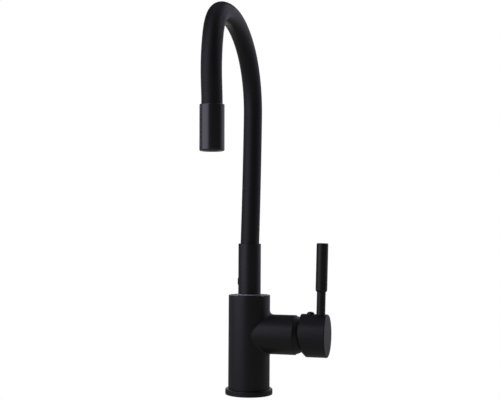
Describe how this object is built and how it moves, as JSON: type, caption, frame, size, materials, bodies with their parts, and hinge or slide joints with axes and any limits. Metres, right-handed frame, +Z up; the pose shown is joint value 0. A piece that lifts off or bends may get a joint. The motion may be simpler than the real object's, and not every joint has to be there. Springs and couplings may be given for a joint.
{
  "type": "kitchen faucet",
  "caption": "Mixer faucet with a side pin lever on a ceramic disc cartridge, and a flexible silicone gooseneck spout that swivels on the body and ends in an aerator head.",
  "frame": {"origin": "on the body's upright axis, in the plane of the deck that the base stands on", "axes": "+Z up, +X along the branch towards the lever, -Y the way the spout reaches at rest"},
  "size_m": [0.1209, 0.1917, 0.4345],
  "materials": {
    "powder_black": "matte",
    "silicone_black": "matte",
    "brass": "machined",
    "steel": "brushed",
    "plastic_white": "matte",
    "plastic_blue": "matte",
    "ceramic": "lapped",
    "glide_plastic": "satin",
    "index_plastic": "gloss",
    "aerator_black": "satin"
  },
  "bodies": {
    "base": {"base_ring": "powder_black", "base_gasket": "silicone_black", "valve_body": "powder_black", "swivel_stop_screw": "steel", "cartridge_base": "plastic_blue", "cartridge_seals": "silicone_black", "cartridge_housing": "plastic_white", "fixed_disc": "ceramic", "retaining_nut": "brass", "dome_cover": "powder_black"},
    "rotor": {"cartridge_rotor": "plastic_blue", "spindle_pin": "steel"},
    "handle": {"spindle": "brass", "lever_head": "powder_black", "lever_stem": "powder_black", "lever_grip": "powder_black", "lever_set_screw": "steel", "index_plug": "index_plastic"},
    "disc": {"moving_disc": "ceramic", "disc_carrier": "plastic_white"},
    "spout_base": {"swivel_nipple": "brass", "swivel_o_rings": "silicone_black", "glide_ring": "glide_plastic", "spout_ferrule": "powder_black", "ferrule_clamp_screw": "powder_black", "hose_foot": "silicone_black"},
    "arch": {"hose_foot_flex": "silicone_black", "hose_rise": "silicone_black", "hose_shoulder": "silicone_black", "hose_crown": "silicone_black", "hose_nose_flex": "silicone_black", "hose_core": "steel", "water_tube": "plastic_white"},
    "outlet": {"hose_drop": "silicone_black", "hose_tail": "silicone_black", "outlet_nipple": "brass", "outlet_head": "powder_black", "aerator_seal": "silicone_black", "aerator_housing": "aerator_black", "aerator_insert": "plastic_white"}
  },
  "joints": [
    {"name": "temperature_turn", "type": "hinge", "parent": "base", "child": "rotor", "pos_m": [0.051, 0, 0.07], "axis": [1, 0, 0], "range_deg": [-50, 50]},
    {"name": "lever_tilt", "type": "hinge", "parent": "rotor", "child": "handle", "pos_m": [0.051, 0, 0.07], "axis": [0, 1, 0], "range_deg": [0, 20]},
    {"name": "disc_slide", "type": "slide", "parent": "rotor", "child": "disc", "axis": [0, 0, 1], "range_m": [0, 0.00372]},
    {"name": "spout_swivel", "type": "hinge", "parent": "base", "child": "spout_base", "pos_m": [0, 0, 0.115], "axis": [0, 0, 1], "continuous": true},
    {"name": "foot_flex", "type": "hinge", "parent": "spout_base", "child": "arch", "pos_m": [0, 0.0036, 0.2047], "axis": [1, 0, 0], "range_deg": [-12, 12], "deforming": ["hose_foot_flex", "hose_core", "water_tube"]},
    {"name": "nose_flex", "type": "hinge", "parent": "arch", "child": "outlet", "pos_m": [0, -0.1353, 0.4109], "axis": [1, 0, 0], "range_deg": [-35, 20], "deforming": ["hose_nose_flex"]}
  ],
  "couplings": [
    {"joint": "disc_slide", "follows": "lever_tilt", "m_per_rad": 0.0105}
  ]
}
